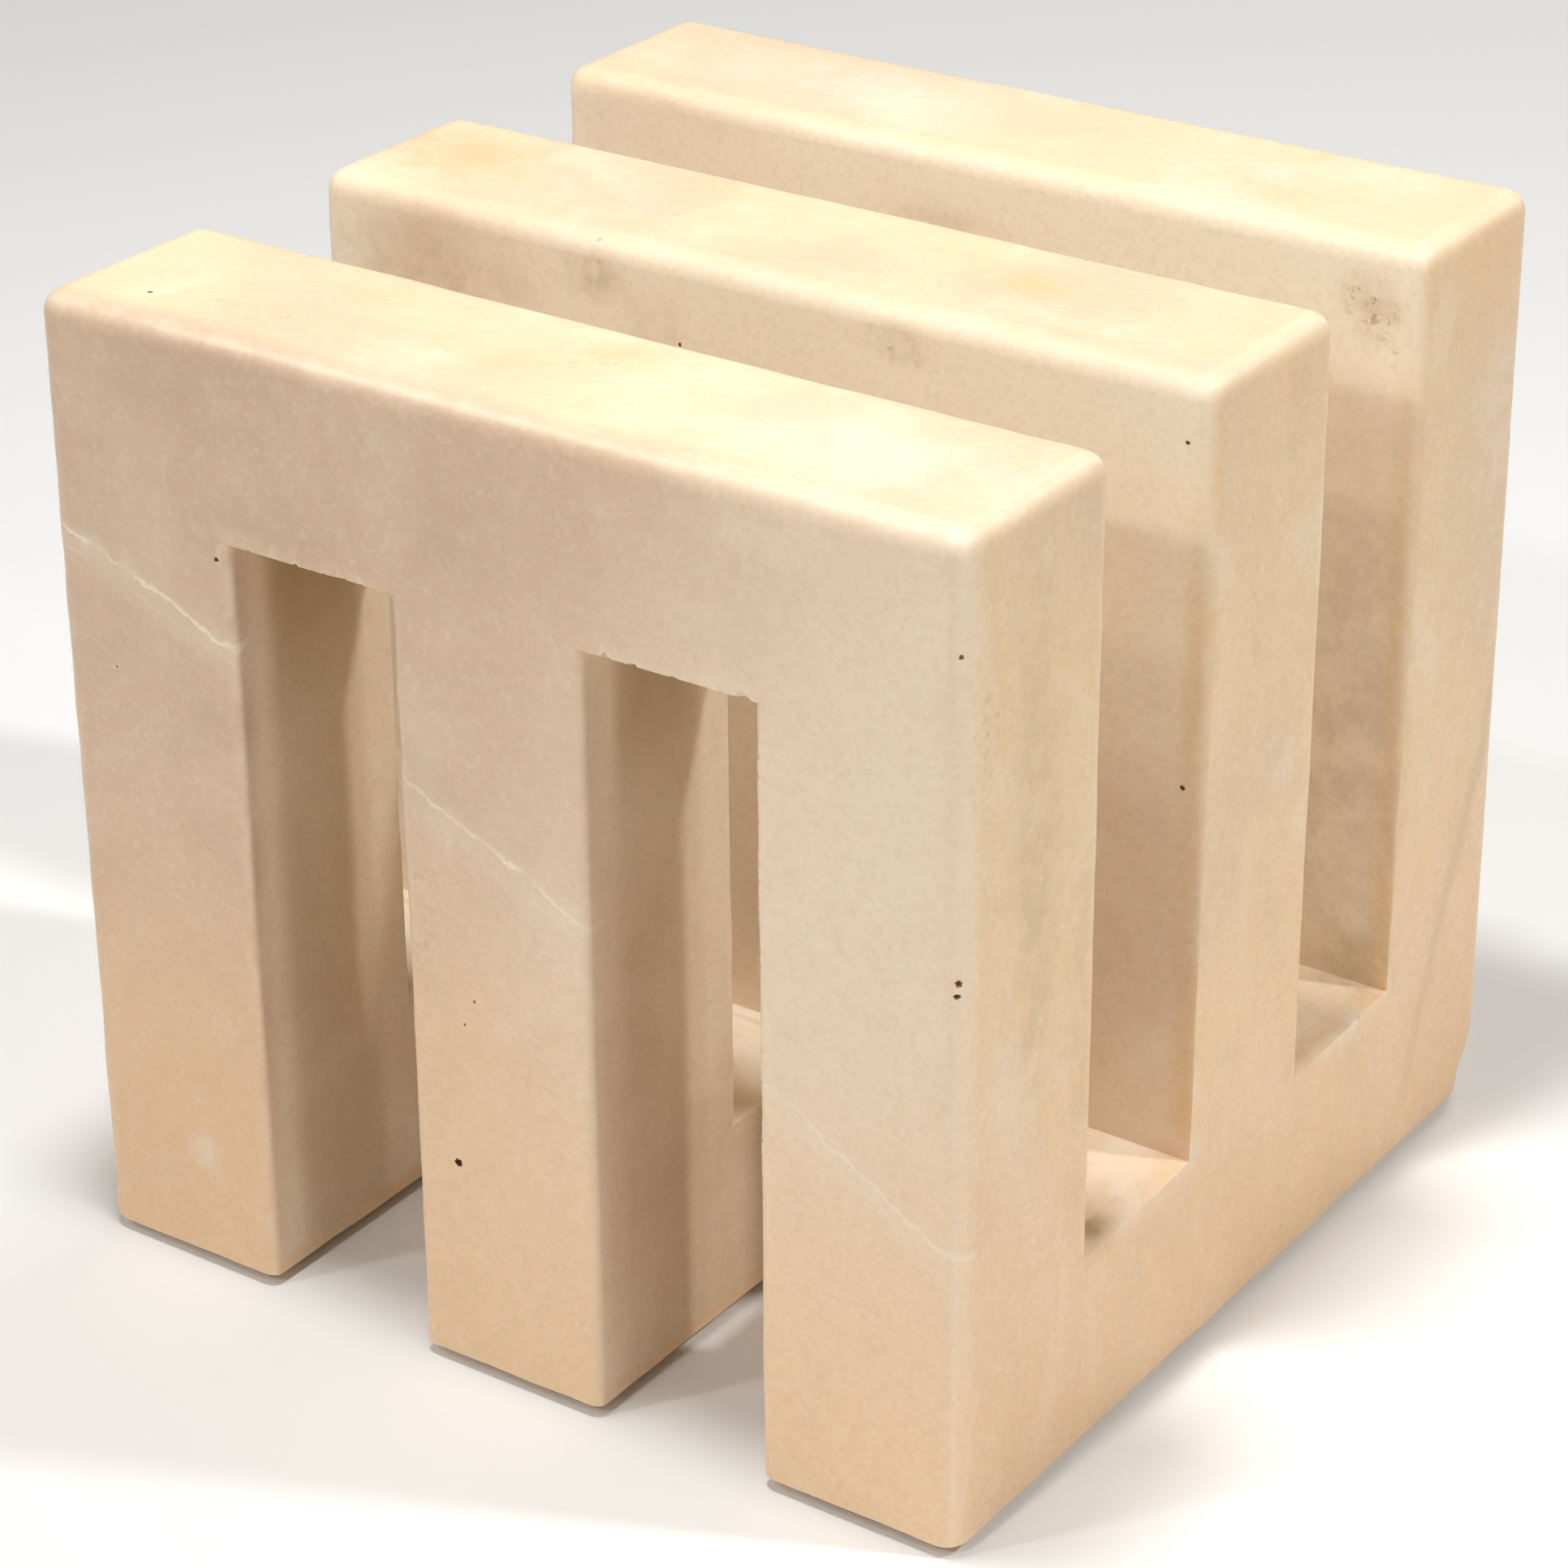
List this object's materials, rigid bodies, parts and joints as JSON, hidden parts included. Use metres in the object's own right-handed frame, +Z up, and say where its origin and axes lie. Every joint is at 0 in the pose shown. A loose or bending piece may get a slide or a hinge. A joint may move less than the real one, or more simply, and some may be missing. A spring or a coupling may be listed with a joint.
{
  "type": "marble bookend",
  "caption": "Free-standing stone bookend: a near-cube of polished pale marble with slots sawn through from the top and, crosswise, from below, on small felt pads.",
  "frame": {"origin": "centre of the footprint, on the surface that the felt pads stand on", "axes": "+Z up; -Y is the front, the face in which the arches open between three legs; +X is the right-hand side, where the trenches open between three upright slabs"},
  "size_m": [0.13, 0.13, 0.1285],
  "materials": {
    "marble": "satin-polished cream marble with faint grey clouding and a thin white vein",
    "felt": "pressed wool felt"
  },
  "bodies": {
    "root": {"marble_block": "marble", "felt_pad_left_front": "felt", "felt_pad_left_back": "felt", "felt_pad_middle_front": "felt", "felt_pad_middle_back": "felt", "felt_pad_right_front": "felt", "felt_pad_right_back": "felt"}
  },
  "joints": []
}
